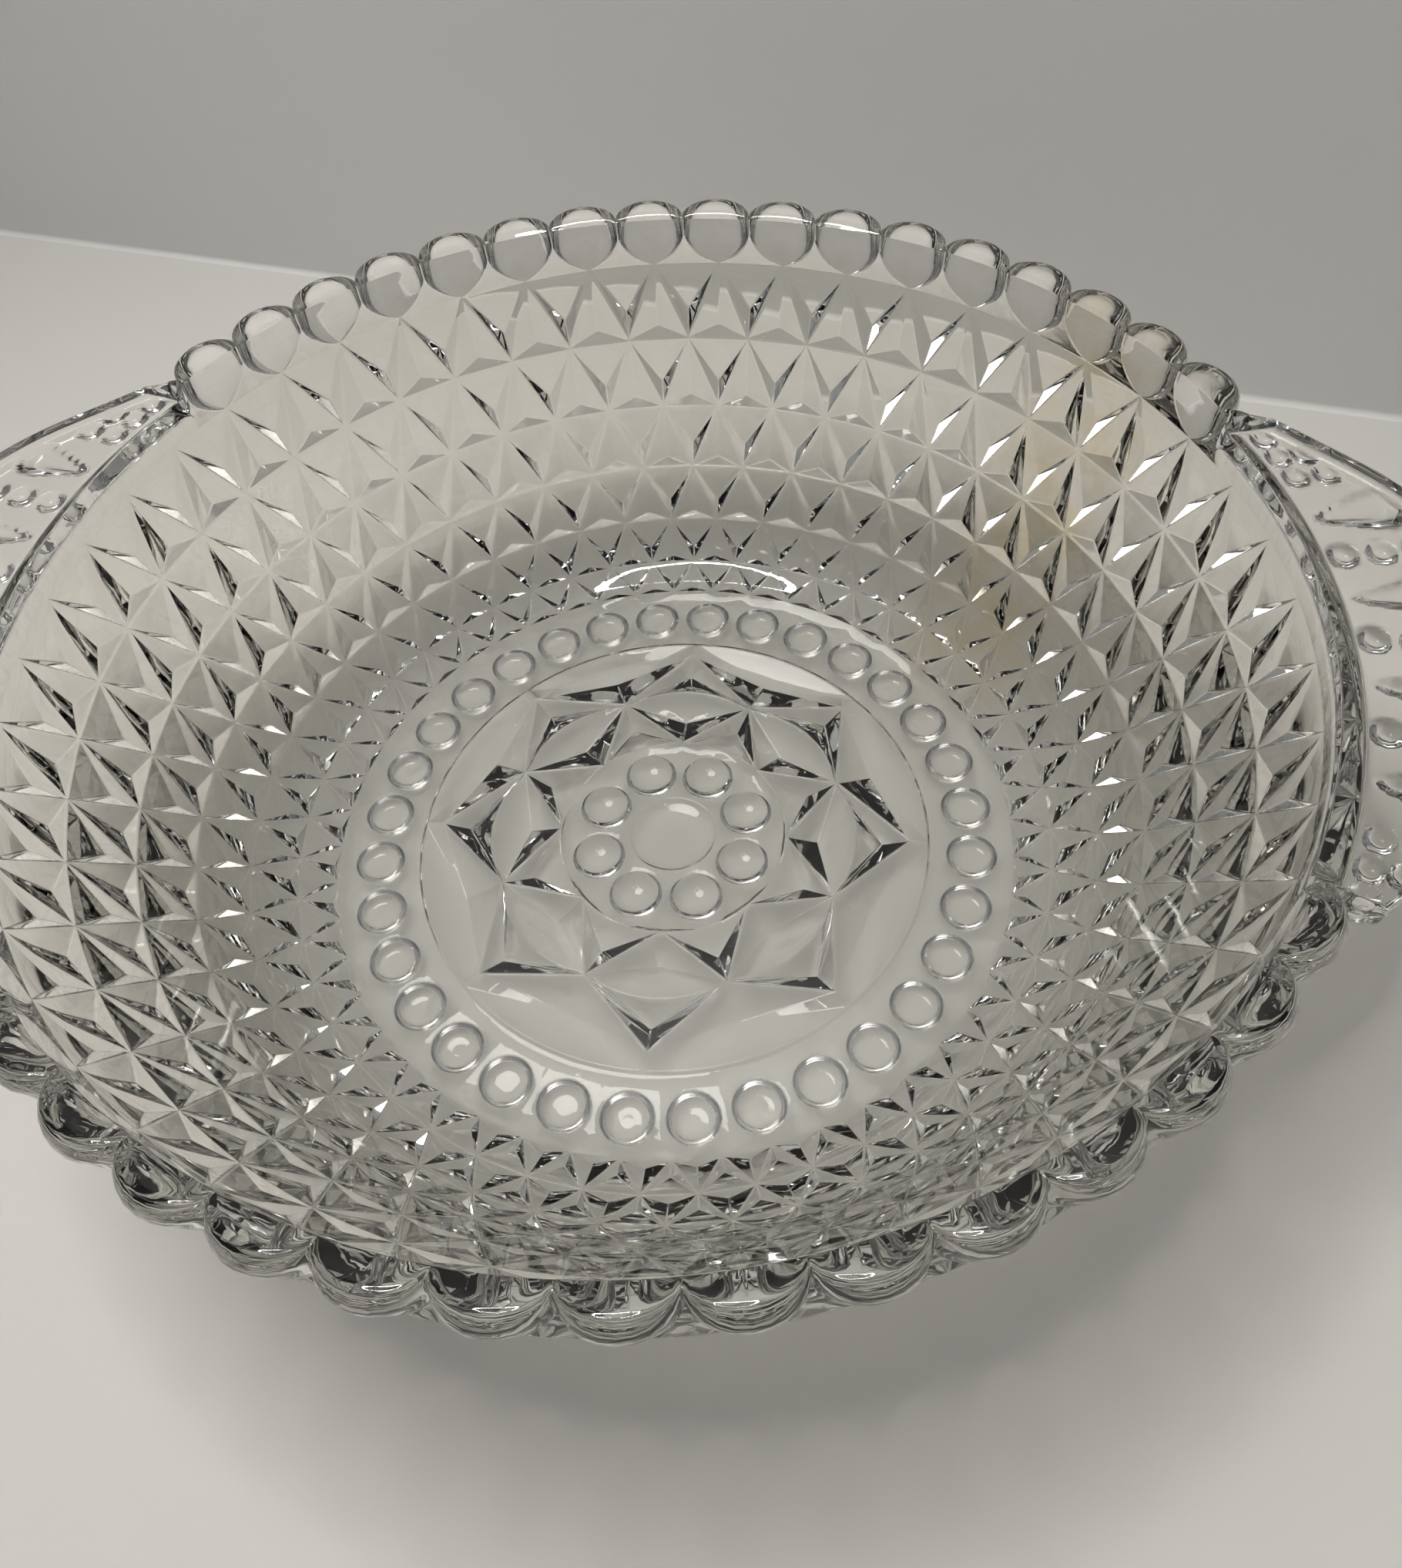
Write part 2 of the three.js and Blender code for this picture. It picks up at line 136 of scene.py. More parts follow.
class Skin:
    def __init__(self, name):
        self.name = name
        self.places, self.points, self.inset, self.crevice = {}, [], [], []
        self.faces, self.facet_flags = [], []

    def vertex(self, point, inset=0, crevice=0.0):
        key = tuple(round(c, 4) for c in point)
        if key not in self.places:
            self.places[key] = len(self.points)
            self.points.append(tuple(point))
            self.inset.append(inset)
            self.crevice.append(crevice)
        return self.places[key]

    def corners(self, ids, facet=0):
        ring = [v for i, v in enumerate(ids) if v != ids[i - 1]]
        if len(ring) > 2:
            self.faces.append(ring)
            self.facet_flags.append(facet)

    def face(self, *points):
        self.corners([self.vertex(p) for p in points])

    def grid(self, rows):
        for low, high in zip(rows, rows[1:]):
            for i in range(len(low) - 1):
                self.face(low[i], low[i + 1], high[i + 1], high[i])

    def stitch(self, row_a, row_b):
        """Joins two rows of points whose counts differ."""
        def shares(row):
            run = [0.0]
            for p, q in zip(row, row[1:]):
                run.append(run[-1] + math.dist(p, q))
            return [r / (run[-1] or 1.0) for r in run]
        share_a, share_b = shares(row_a), shares(row_b)
        i, j = 0, 0
        while i < len(row_a) - 1 or j < len(row_b) - 1:
            a_done, b_done = i == len(row_a) - 1, j == len(row_b) - 1
            if b_done or (not a_done and share_a[i + 1] <= share_b[j + 1]):
                self.face(row_a[i], row_a[i + 1], row_b[j])
                i += 1
            else:
                self.face(row_a[i], row_b[j + 1], row_b[j])
                j += 1

    def facet(self, outline, rounding):
        """A flat facet, its first point the fan's centre, with a strip along every border."""
        points = [Vector(p) for p in outline]
        count = len(points)
        normal = Vector((0, 0, 0))
        for p, q in zip(points, points[1:] + points[:1]):
            normal += p.cross(q)
        area = normal.length / 2
        normal.normalize()
        border = sum((q - p).length for p, q in zip(points, points[1:] + points[:1]))
        ridge = min(rounding, STRIP_LIMIT * 2 * area / border)
        widths = [ridge] + [ridge * GROOVE_SHARE] * (count - 2) + [ridge]
        middle = sum(points, Vector()) / count
        inner = []
        for i, p in enumerate(points):
            before = (p - points[i - 1]).normalized()
            after = (points[(i + 1) % count] - p).normalized()
            m, n = normal.cross(before), normal.cross(after)
            first, second, lean = widths[i - 1], widths[i], m.dot(n)
            if lean > ALMOST_STRAIGHT:
                shift = m * ((first + second) / 2)
            else:
                shift = m * (first - lean * second) + n * (second - lean * first)
                shift /= 1 - lean ** 2
            limit = PEAK_LIMIT * (middle - p).length
            if shift.length > limit:
                shift *= limit / shift.length
            inner.append(self.vertex(p + shift, inset=1))
        outer = [self.vertex(p) for p in outline]
        for i in range(count):
            j = (i + 1) % count
            self.corners([outer[i], outer[j], inner[j], inner[i]], facet=1)
        for i in range(1, count - 1):
            self.corners([inner[0], inner[i], inner[i + 1]], facet=1)

    def as_mesh(self):
        mesh = bpy.data.meshes.new(self.name)
        mesh.from_pydata([Vector(p) * MM for p in self.points], [], self.faces)
        labels = (("inset", "INT", "POINT", self.inset),
                  ("crevice", "FLOAT", "POINT", self.crevice),
                  ("facet", "INT", "FACE", self.facet_flags))
        for label, kind, domain, values in labels:
            mesh.attributes.new(label, kind, domain).data.foreach_set("value", values)
        return mesh


# %% [markdown]
# ## Round the bowl with Geometry Nodes
# The mould maker cuts one cell of a pattern and turns the blank by one step for the next cut. The
# node tree does the same: it turns copies of a cell about the bowl's axis, makes them real, merges
# the borders where two copies meet, and gives them the glass.

# %% The repeating tree
def node_in(tree, kind, settings=(), **inputs):
    made = tree.nodes.new(kind)
    for name, value in dict(settings).items():
        setattr(made, name, value)
    for name, value in inputs.items():
        socket = made.inputs[name.replace("_", " ")]
        if isinstance(value, bpy.types.NodeSocket):
            tree.links.new(value, socket)
        else:
            socket.default_value = value
    return made


def turning_tree():
    tree = bpy.data.node_groups.new("turn round the bowl", "GeometryNodeTree")
    sockets = {}
    for label, kind in (("Cell", "Geometry"), ("Count", "Int"), ("First turn", "Float"),
                        ("Step", "Float"), ("Merge distance", "Float"), ("Glass", "Material")):
        sockets[label] = tree.interface.new_socket(
            label, in_out="INPUT", socket_type="NodeSocket" + kind).identifier
    tree.interface.new_socket("Ring", in_out="OUTPUT", socket_type="NodeSocketGeometry")
    given = tree.nodes.new("NodeGroupInput").outputs
    points = node_in(tree, "GeometryNodePoints", Count=given["Count"])
    index = node_in(tree, "GeometryNodeInputIndex")
    turn = node_in(tree, "ShaderNodeMath", {"operation": "MULTIPLY_ADD"})
    tree.links.new(index.outputs[0], turn.inputs[0])
    tree.links.new(given["Step"], turn.inputs[1])
    tree.links.new(given["First turn"], turn.inputs[2])
    rotation = node_in(tree, "FunctionNodeAxisAngleToRotation",
                       Axis=(0, 0, 1), Angle=turn.outputs[0])
    copies = node_in(tree, "GeometryNodeInstanceOnPoints", Points=points.outputs[0],
                     Instance=given["Cell"], Rotation=rotation.outputs[0])
    real = node_in(tree, "GeometryNodeRealizeInstances", Geometry=copies.outputs[0])
    merged = node_in(tree, "GeometryNodeMergeByDistance", Geometry=real.outputs[0],
                     Distance=given["Merge distance"])
    glassy = node_in(tree, "GeometryNodeSetMaterial", Geometry=merged.outputs[0],
                     Material=given["Glass"])
    out = tree.nodes.new("NodeGroupOutput")
    tree.links.new(glassy.outputs[0], out.inputs[0])
    return tree, sockets


TURN_TREE, TURN_SOCKETS = turning_tree()
MERGE_DISTANCE = 0.004 * MM
patches = []
print("inputs of the tree:", ", ".join(TURN_SOCKETS))


def turn_round(skin, count, step, first=0.0):
    """Repeats a cell round the axis and keeps the result as a plain mesh."""
    cell = bpy.data.objects.new(skin.name, skin.as_mesh())
    bpy.context.scene.collection.objects.link(cell)
    turning = cell.modifiers.new("turn", "NODES")
    turning.node_group = TURN_TREE
    for label, value in (("Count", count), ("First turn", first), ("Step", step),
                         ("Merge distance", MERGE_DISTANCE), ("Glass", pressed_glass)):
        turning[TURN_SOCKETS[label]] = value
    graph = bpy.context.evaluated_depsgraph_get()
    plain = bpy.data.meshes.new_from_object(cell.evaluated_get(graph))
    bpy.data.objects.remove(cell)
    patches.append(plain)
    print(skin.name, "x", count, "->", len(plain.polygons), "faces")


# %% [markdown]
# ## Shader maths as Python
# A mask is a sum of products, and node links hide that. The small classes below wrap a socket, so
# that an ordinary expression adds the nodes, and one method adds any other node with its settings.

# %% Shader helpers
class Signal:
    """A socket that Python's own operators work on."""

    def __init__(self, finish, socket):
        self.finish, self.socket = finish, socket

    def maths(self, operation, *others, clamp=False):
        made = self.finish.tree.nodes.new("ShaderNodeMath")
        made.operation, made.use_clamp = operation, clamp
        for slot_in, value in zip(made.inputs, (self, *others)):
            self.finish.feed(slot_in, value)
        return Signal(self.finish, made.outputs[0])

    def __add__(self, other):
        return self.maths("ADD", other)

    __radd__ = __add__

    def __sub__(self, other):
        return self.maths("SUBTRACT", other)

    def __rsub__(self, other):
        return (self * -1.0) + other

    def __mul__(self, other):
        return self.maths("MULTIPLY", other)

    __rmul__ = __mul__

    def __truediv__(self, other):
        return self.maths("DIVIDE", other)

    def clamped(self):
        return self.maths("ADD", 0.0, clamp=True)


class Finish:
    def __init__(self, name):
        self.material = bpy.data.materials.new(name)
        self.material.use_nodes = True
        self.tree = self.material.node_tree
        self.tree.nodes.clear()

    def feed(self, socket, value):
        if isinstance(value, Signal):
            self.tree.links.new(value.socket, socket)
        else:
            socket.default_value = value

    def node(self, kind, settings=(), output=0, **inputs):
        made = self.tree.nodes.new("ShaderNode" + kind)
        for name, value in dict(settings).items():
            setattr(made, name, value)
        for name, value in inputs.items():
            self.feed(made.inputs[name.replace("_", " ")], value)
        return Signal(self, made.outputs[output])

    def blend(self, share, first, second):
        made = self.tree.nodes.new("ShaderNodeMix")
        made.data_type = "RGBA"
        self.feed(made.inputs[0], share)
        self.feed(made.inputs[6], first)
        self.feed(made.inputs[7], second)
        return Signal(self, made.outputs[2])

    def done(self, shader):
        end = self.tree.nodes.new("ShaderNodeOutputMaterial")
        self.tree.links.new(shader.socket, end.inputs["Surface"])
        return self.material


print("shader helpers ready:", Signal.__name__, "and", Finish.__name__)

# %% [markdown]
# ## The finish: pressed soda-lime glass
# Pressed glass is clear but never perfect. The mould's skin leaves long, low waves and a fine
# ripple in it, the iron in the sand gives it a warm grey-green cast, and old bowls carry a yellow
# water stain and brown dirt that sits where a cloth can't reach. Waves are a bump, and the cast is
# the base colour. The wall band is painted shade: a darker, warmer base colour that stands in for
# the dim surroundings seen through the lattice. The stain tints the base colour along one side, and
# the dirt is a rough brown surface mixed in by a mask.

# %% The glass
GLASS_INDEX = 1.52
WAVE_DEPTH = 0.00012
RIPPLE_SHARE = 0.06
GLASS_CAST = (0.972, 0.972, 0.945, 1)
# painted shade: a darker, warmer tint for the wall band, standing in for the dim surroundings seen
# through it
WALL_PAINTED_SHADE = (0.9, 0.895, 0.84, 1)
WALL_FOOT, WALL_HEAD = 8 * MM, 70 * MM
STAIN_TINT = (0.86, 0.74, 0.48, 1)
STAIN_ANGLE, STAIN_START, STAIN_HALF_WIDTH = 41 * DEGREE, 60 * MM, 18 * MM
STAIN_DEPTH = 0.75
DIRT_BROWN = (0.085, 0.05, 0.028, 1)
DIRT_START, DIRT_DEPTH = 100 * MM, 0.85


def glass_finish():
    finish = Finish("pressed_glass")
    place = finish.node("TexCoord", output=3)
    parts = finish.tree.nodes.new("ShaderNodeSeparateXYZ")
    finish.feed(parts.inputs[0], place)
    x, y, z = (Signal(finish, socket) for socket in parts.outputs)

    waves = finish.node("TexNoise", Vector=place, Scale=55.0, Detail=1.0)
    ripple = finish.node("TexNoise", Vector=place, Scale=420.0, Detail=2.0)
    cloud = finish.node("TexNoise", Vector=place, Scale=120.0, Detail=3.0)
    relief = finish.node("Bump", Strength=1.0, Distance=WAVE_DEPTH,
                         Height=waves + ripple * RIPPLE_SHARE)

    outward = x * math.cos(STAIN_ANGLE) + y * math.sin(STAIN_ANGLE)
    sideways = x * -math.sin(STAIN_ANGLE) + y * math.cos(STAIN_ANGLE)
    beside = (1 - sideways * sideways / STAIN_HALF_WIDTH ** 2).clamped()
    reached = ((outward - STAIN_START) * 60.0).clamped()
    stain = beside * reached * (cloud * 3.2 - 1.15).clamped()
    # painted shade: between its foot and head the wall gets the darker, warmer tint instead of the
    # plain cast
    on_wall = ((z - WALL_FOOT) * 80.0).clamped() * ((WALL_HEAD - z) * 250.0).clamped()
    wall_shade_tint = finish.blend(on_wall, GLASS_CAST, WALL_PAINTED_SHADE)
    colour = finish.blend(stain * STAIN_DEPTH, wall_shade_tint, STAIN_TINT)

    crevice = finish.node("Attribute", {"attribute_name": "crevice"}, output=2)
    right_side = ((x - DIRT_START) * 400.0).clamped()
    dirt = (crevice * right_side * (cloud * 5.0 - 2.3).clamped()).clamped()

    clear = finish.node("BsdfPrincipled", Base_Color=colour, Roughness=cloud * 0.03,
                        IOR=GLASS_INDEX, Transmission_Weight=1.0, Normal=relief)
    brown = finish.node("BsdfPrincipled", Base_Color=DIRT_BROWN, Roughness=0.8)
    mixed = finish.tree.nodes.new("ShaderNodeMixShader")
    finish.feed(mixed.inputs[0], dirt * DIRT_DEPTH)
    finish.feed(mixed.inputs[1], clear)
    finish.feed(mixed.inputs[2], brown)
    return finish.done(Signal(finish, mixed.outputs[0]))


pressed_glass = glass_finish()
print("glass nodes", len(pressed_glass.node_tree.nodes))

# %% [markdown]
# ## The smooth inside
# The plunger that presses the inside is turned on a lathe: a flat end, a small corner, a round heel
# and a straight flare. One cell of it is a pitch wide, with columns that bunch towards its sides
# because the scallops above need them there.

# %% Inside surface
COLUMNS = 12
LIP_START_RADIUS, LIP_START_HEIGHT = 101.93, 67.0
LIP_JOIN_HEIGHT = 70.0


def scallop_angles():
    return [-math.cos(math.pi * j / COLUMNS) * PITCH / 2 for j in range(COLUMNS + 1)]


def inside_profile():
    corner_height = 0.4
    flat_end = [(66.0, FLOOR_TOP), (66.9, FLOOR_TOP + 0.05), (67.5, FLOOR_TOP + 0.22)]
    heel, blend = INSIDE["heel_radius"], INSIDE["blend_height"]
    centre_radius = wall_radius(INSIDE, blend) - heel * math.cos(FLARE)
    centre_height = blend + heel * math.sin(FLARE)
    first = math.acos((centre_height - FLOOR_TOP - corner_height) / heel)
    round_part = [(centre_radius + heel * math.sin(t), centre_height - heel * math.cos(t))
                  for t in steps(first, math.pi / 2 - FLARE, 11)]
    straight = [(wall_radius(INSIDE, z), z) for z in (34.0, 43.0, 52.0, 59.0, 62.0)]
    bend = [(101.2, 63.6), (101.62, 65.0), (LIP_START_RADIUS, LIP_START_HEIGHT)]
    return flat_end + round_part + straight + bend + [(inner_lip(LIP_JOIN_HEIGHT), LIP_JOIN_HEIGHT)]


def inner_lip(height):
    share = (height - LIP_START_HEIGHT) / (INNER_EDGE_HEIGHT - LIP_START_HEIGHT)
    return mix(LIP_START_RADIUS, RIM_INNER_RADIUS, share)


inside = Skin("smooth_inside")
angles = scallop_angles()
inside_rows = [[at(r, a, z) for a in angles] for r, z in inside_profile()]
inside.grid(inside_rows)
floor_rings = [[at(r, a, FLOOR_TOP) for a in steps(-PITCH / 2, PITCH / 2, 2)] for r in (62.0, 30.0)]
inside.stitch(inside_rows[0], floor_rings[0])
inside.grid(floor_rings + [[(0, 0, FLOOR_TOP)] * 3])
turn_round(inside, PITCHES, PITCH)

# %% [markdown]
# ## The lattice wall
# The outside of the wall is a lattice of triangles, six rows high, and each triangle is a low
# pyramid. A triangle that hangs from its row has its peak well down, which draws a bright Y. One
# that stands on its row has its peak close to its base. All facets of a node meet in one groove
# point, which reads as a six-rayed star.

# %% Lattice cell
PEAK_SHARE = 0.16
DOWN_PEAK = 0.62
UP_PEAK = 0.84
FACET_ROUNDING = 0.3
FOOT_RING_RADIUS = 64.4
FOOT_STEPS = 4
BAND_STEPS = 8


def raised_peak(corners, weights):
    a, b, c = (Vector(p) for p in corners)
    normal = (b - a).cross(c - a).normalized()
    foot = a * weights[0] + b * weights[1] + c * weights[2]
    return tuple(foot + normal * (PEAK_SHARE * (b - a).length))


def lattice_node(row, k):
    height = ROW_HEIGHTS[row]
    return at(wall_radius(OUTSIDE, height), (k + (row % 2) / 2) * PITCH, height)


BAND_CHORD = math.dist(lattice_node(0, 0), lattice_node(0, 1))
lattice = Skin("lattice_wall")
for row in range(len(ROW_HEIGHTS) - 1):
    below = row % 2
    side, foot = (1 - DOWN_PEAK) / 2, UP_PEAK / 2
    right, left, low = lattice_node(row, 1), lattice_node(row, 0), lattice_node(row + 1, below)
    rounding = FACET_ROUNDING * math.dist(left, right) / BAND_CHORD
    peak = raised_peak((right, left, low), (side, side, DOWN_PEAK))
    top_edge = [right, left]
    if row == 0:
        band_radius = OUTSIDE["band_radius"]
        top_edge = [at(band_radius, a, BAND_HEIGHT) for a in steps(PITCH, 0, BAND_STEPS)]
    lattice.facet([peak, *top_edge], rounding)
    lattice.facet([peak, left, low], rounding)
    lattice.facet([peak, low, right], rounding)
    base_left, base_right = lattice_node(row + 1, below - 1), low
    peak = raised_peak((base_left, base_right, left), (foot, foot, 1 - UP_PEAK))
    lattice.facet([peak, base_left, base_right], rounding)
    lattice.facet([peak, base_right, left], rounding)
    lattice.facet([peak, left, base_left], rounding)
foot_edge = [at(FOOT_RING_RADIUS, a, FLOOR_UNDERSIDE) for a in steps(0, PITCH, FOOT_STEPS)]
last_row = len(ROW_HEIGHTS) - 1
lattice.stitch([lattice_node(last_row, 0), lattice_node(last_row, 1)], foot_edge)
turn_round(lattice, PITCHES, PITCH)

# %% [markdown]
# ## The beaded foot
# The bowl stands on thirty-two round beads. Each is a steep-sided button with a soft shoulder and a
# small flat underneath. A cell holds one bead in a patch of the plain ring, and the patch's border
# has as many points as the bead's circle, so plain quads run from one to the other.

# %% Bead cell
BEADS = 32
BEAD_RING_RADIUS = 59.0
BEAD_RADIUS, BEAD_FLAT, BEAD_SHOULDER = 4.6, 2.3, 1.9
PLAIN_RING_RADIUS = 53.6
CELL_STEPS = 6


def cell_border(inner_radius, outer_radius, half_angle, height):
    """The border of a patch of a flat ring, as one closed run of points."""
    outer = [at(outer_radius, a, height) for a in steps(-half_angle, half_angle, CELL_STEPS)]
    right = [at(r, half_angle, height) for r in steps(outer_radius, inner_radius, CELL_STEPS)]
    inner = [at(inner_radius, a, height) for a in steps(half_angle, -half_angle, CELL_STEPS)]
    left = [at(r, -half_angle, height) for r in steps(inner_radius, outer_radius, CELL_STEPS)]
    return outer + right[1:] + inner[1:] + left[1:]


def boss(skin, border, centre_radius, turn, profile):
    """A round boss that grows out of a patch: rings of the border's own count, then a cap."""
    middle = Vector(at(centre_radius, 0, 0))
    bearings = [math.atan2(p[1] - middle.y, p[0] - middle.x) for p in border]
    for i in range(1, len(bearings)):
        while bearings[i] < bearings[i - 1] - 0.5:
            bearings[i] += 2 * math.pi
    even = [mix(bearings[0], bearings[0] + 2 * math.pi, i / (len(border) - 1))
            for i in range(len(border))]
    rings = [border]
    for n, (radius, height) in enumerate(profile):
        ease = smooth((n + 1) / 2)
        rings.append([(middle.x + radius * math.cos(mix(b, e, ease)),
                       middle.y + radius * math.sin(mix(b, e, ease)), height)
                      for b, e in zip(bearings, even)])
    skin.grid([[turned(p, turn) for p in ring] for ring in rings])


def turned(point, angle):
    x, y, z = point
    return (x * math.cos(angle) - y * math.sin(angle), x * math.sin(angle) + y * math.cos(angle), z)


def bead_profile():
    base = [(5.05, FLOOR_UNDERSIDE), (4.78, FLOOR_UNDERSIDE - 0.1), (BEAD_RADIUS, 2.35)]
    shoulder = [(mix(BEAD_FLAT, BEAD_RADIUS, math.cos(t)), BEAD_SHOULDER * (1 - math.sin(t)))
                for t in steps(0, math.pi / 2, 6)]
    return base + shoulder + [(BEAD_FLAT / 2, 0.0), (0.0, 0.0)]


beads = Skin("foot_beads")
half_bead = math.pi / BEADS
boss(beads, cell_border(PLAIN_RING_RADIUS, FOOT_RING_RADIUS, half_bead, FLOOR_UNDERSIDE),
     BEAD_RING_RADIUS, 0.0, bead_profile())
turn_round(beads, BEADS, 2 * half_bead)

# %% [markdown]
# ## The star medallion
# An eight-pointed star is cut into the underside of the base. Its grooves part the disc into
# fields, and each field rises to a peak: a long field against the border, the star's tip, the petal
# behind the tip and a kite between two petals. A rosette of eight domes and a wide, low dome fill
# the middle.

# %% Medallion sector
STAR_POINTS = 8
STAR_TURN = 2.2 * DEGREE
SECTOR = 2 * math.pi / STAR_POINTS
MEDALLION_RADIUS = 50.5
STAR = {"tip": 47.0, "crossing": 35.0, "curve": 36.6, "inner": 22.5}
STAR_PEAK = {"border": 42.5, "tip": 41.8, "petal": 29.0, "kite": 28.8}
GROOVE_HEIGHT, PEAK_HEIGHT = 3.8, 1.1
STAR_ROUNDING = 0.3
ROSETTE_RING, DOME_RADIUS, DOME_DROP = 15.4, 5.15, 2.1
CENTRE_DOME_RADIUS, CENTRE_DOME_DROP = 8.6, 0.95
ROSETTE_INNER, ROSETTE_OUTER = 9.2, 21.8
STEP_ROWS = ((52.0, 0.5, 0.0), (51.1, 0.0, 0.0), (50.9, 0.0, 0.04), (MEDALLION_RADIUS, 0.0, 0.35))
SECTOR_STEPS = 24
ARC_STEPS = 6


def dome_profile(radius, drop, levels):
    arch = [(radius * math.cos(t), FLOOR_UNDERSIDE - drop * math.sin(t))
            for t in steps(0.12, math.pi / 2, levels)]
    return [(radius + 0.12, FLOOR_UNDERSIDE - 0.02)] + arch


medallion = Skin("star_medallion")
half = SECTOR / 2
ring_lag = 2 * math.pi / (STAR_POINTS * SECTOR_STEPS) - STAR_TURN
ring_rows = []
for radius, lag, sink in ((PLAIN_RING_RADIUS, 1.0, 0.0), *STEP_ROWS):
    turns = steps(0, SECTOR, SECTOR_STEPS)
    ring_rows.append([at(radius, a + lag * ring_lag, FLOOR_UNDERSIDE + sink) for a in turns])
medallion.grid(ring_rows)

tip, next_tip = at(STAR["tip"], 0, GROOVE_HEIGHT), at(STAR["tip"], SECTOR, GROOVE_HEIGHT)
crossing, last_crossing = (at(STAR["crossing"], s * half, GROOVE_HEIGHT) for s in (1, -1))
curve = []
for share in steps(1, -1, 8):
    y = crossing[1] * share
    curve.append((mix(STAR["curve"], crossing[0], share ** 2), y, GROOVE_HEIGHT))
inner_tip = at(STAR["inner"], 0, GROOVE_HEIGHT)


def rosette_edge(angle):
    dip = math.cos(math.pi * angle / half) / 2 + 0.5
    return at(STAR["inner"], angle, mix(FLOOR_UNDERSIDE, GROOVE_HEIGHT, dip))


edge = [rosette_edge(a) for a in steps(SECTOR, 0, ARC_STEPS)]
peak = at(STAR_PEAK["border"], half, PEAK_HEIGHT)
medallion.facet([peak, tip, *ring_rows[-1], next_tip], STAR_ROUNDING)
medallion.facet([peak, next_tip, crossing], STAR_ROUNDING)
medallion.facet([peak, crossing, tip], STAR_ROUNDING)
peak = at(STAR_PEAK["tip"], 0, PEAK_HEIGHT)
medallion.facet([peak, last_crossing, tip], STAR_ROUNDING)
medallion.facet([peak, tip, crossing], STAR_ROUNDING)
medallion.facet([peak, *curve], STAR_ROUNDING)
peak = at(STAR_PEAK["petal"], 0, PEAK_HEIGHT)
medallion.facet([peak, *reversed(curve)], STAR_ROUNDING)
medallion.facet([peak, crossing, inner_tip], STAR_ROUNDING)
medallion.facet([peak, inner_tip, last_crossing], STAR_ROUNDING)
peak = at(STAR_PEAK["kite"], half, PEAK_HEIGHT)
medallion.facet([peak, crossing, edge[0]], STAR_ROUNDING)
medallion.facet([peak, *edge], STAR_ROUNDING)
medallion.facet([peak, edge[-1], crossing], STAR_ROUNDING)

flat = [at(ROSETTE_OUTER, a, FLOOR_UNDERSIDE) for a in steps(SECTOR, 0, ARC_STEPS)]
medallion.grid([edge, flat])
dome_patch = cell_border(ROSETTE_INNER, ROSETTE_OUTER, half, FLOOR_UNDERSIDE)
boss(medallion, dome_patch, ROSETTE_RING, half, dome_profile(DOME_RADIUS, DOME_DROP, 8))
centre_rows = [[at(ROSETTE_INNER, a, FLOOR_UNDERSIDE) for a in steps(0, SECTOR, ARC_STEPS)]]
for radius, height in dome_profile(CENTRE_DOME_RADIUS, CENTRE_DOME_DROP, 10):
    centre_rows.append([at(radius, a, height) for a in steps(0, SECTOR, ARC_STEPS)])
medallion.grid(centre_rows)
turn_round(medallion, STAR_POINTS, SECTOR, STAR_TURN)

# %% [markdown]
# ## The scalloped rim
# Each scallop is a solid pillow that bulges from the outside of the rim. Seen through the inside it
# is a U: steep flanks high up that close to a soft point at the band. Its crown rises from a
# straight inner edge to a rounded outer edge, and dips to a cusp on either side.

# %% Scallop cell
SCALLOPS_PER_ARC = 17
SCALLOP_BULGE = 4.4
SCALLOP_FULL_HEIGHT = 72.0
CROWN_START = 73.4
CUSP_RADIUS = 104.8
FULLNESS = 0.97
TAPER = 1.6
BULGE_RISE = 0.85
CROWN_SHARE = 0.65
LIP_BEVEL = 0.12
LIP_MIDDLE_HEIGHT = 72.5


def cusp_radius(height):
    share = min(1.0, (height - BAND_HEIGHT) / (SCALLOP_FULL_HEIGHT - BAND_HEIGHT))
    return mix(OUTSIDE["band_radius"], CUSP_RADIUS, share)


def pillow(across):
    flat = math.sqrt(1 - FULLNESS ** 2)
    return (math.sqrt(max(0.0, 1 - (FULLNESS * across) ** 2)) - flat) / (1 - flat)


def crown_section(outer_radius, across):
    """From the outside of the rim over its crown to the lip that the inside joins."""
    top = CUSP_TOP + (RIM_TOP - CUSP_TOP) * math.sqrt(max(0.0, 1 - across ** 2))
    width = outer_radius - RIM_INNER_RADIUS
    section = []
    for t in steps(0, math.pi / 2, 5)[1:]:
        share = mix(CROWN_SHARE, 1, math.cos(t))
        section.append((RIM_INNER_RADIUS + width * share, mix(CROWN_START, top, math.sin(t))))
    for u in steps(1, 0, 5)[1:-1]:
        rise = math.sin(math.pi / 2 * u)
        radius = RIM_INNER_RADIUS + width * CROWN_SHARE * u
        section.append((radius, mix(INNER_EDGE_HEIGHT, top, rise)))
    return section


LIP_SECTION = [(RIM_INNER_RADIUS + LIP_BEVEL, INNER_EDGE_HEIGHT + 0.02),
               (RIM_INNER_RADIUS, INNER_EDGE_HEIGHT - LIP_BEVEL),
               (inner_lip(LIP_MIDDLE_HEIGHT), LIP_MIDDLE_HEIGHT),
               (inner_lip(LIP_JOIN_HEIGHT), LIP_JOIN_HEIGHT)]


def scallop_rows():
    rows = []
    for t in steps(0, math.pi / 2, 9):
        height = SCALLOP_FULL_HEIGHT - (SCALLOP_FULL_HEIGHT - BAND_HEIGHT) * math.cos(t)
        rows.append(scallop_row(height, math.sin(t) ** TAPER))
    rows.append(scallop_row(CROWN_START, 1.0))
    return rows


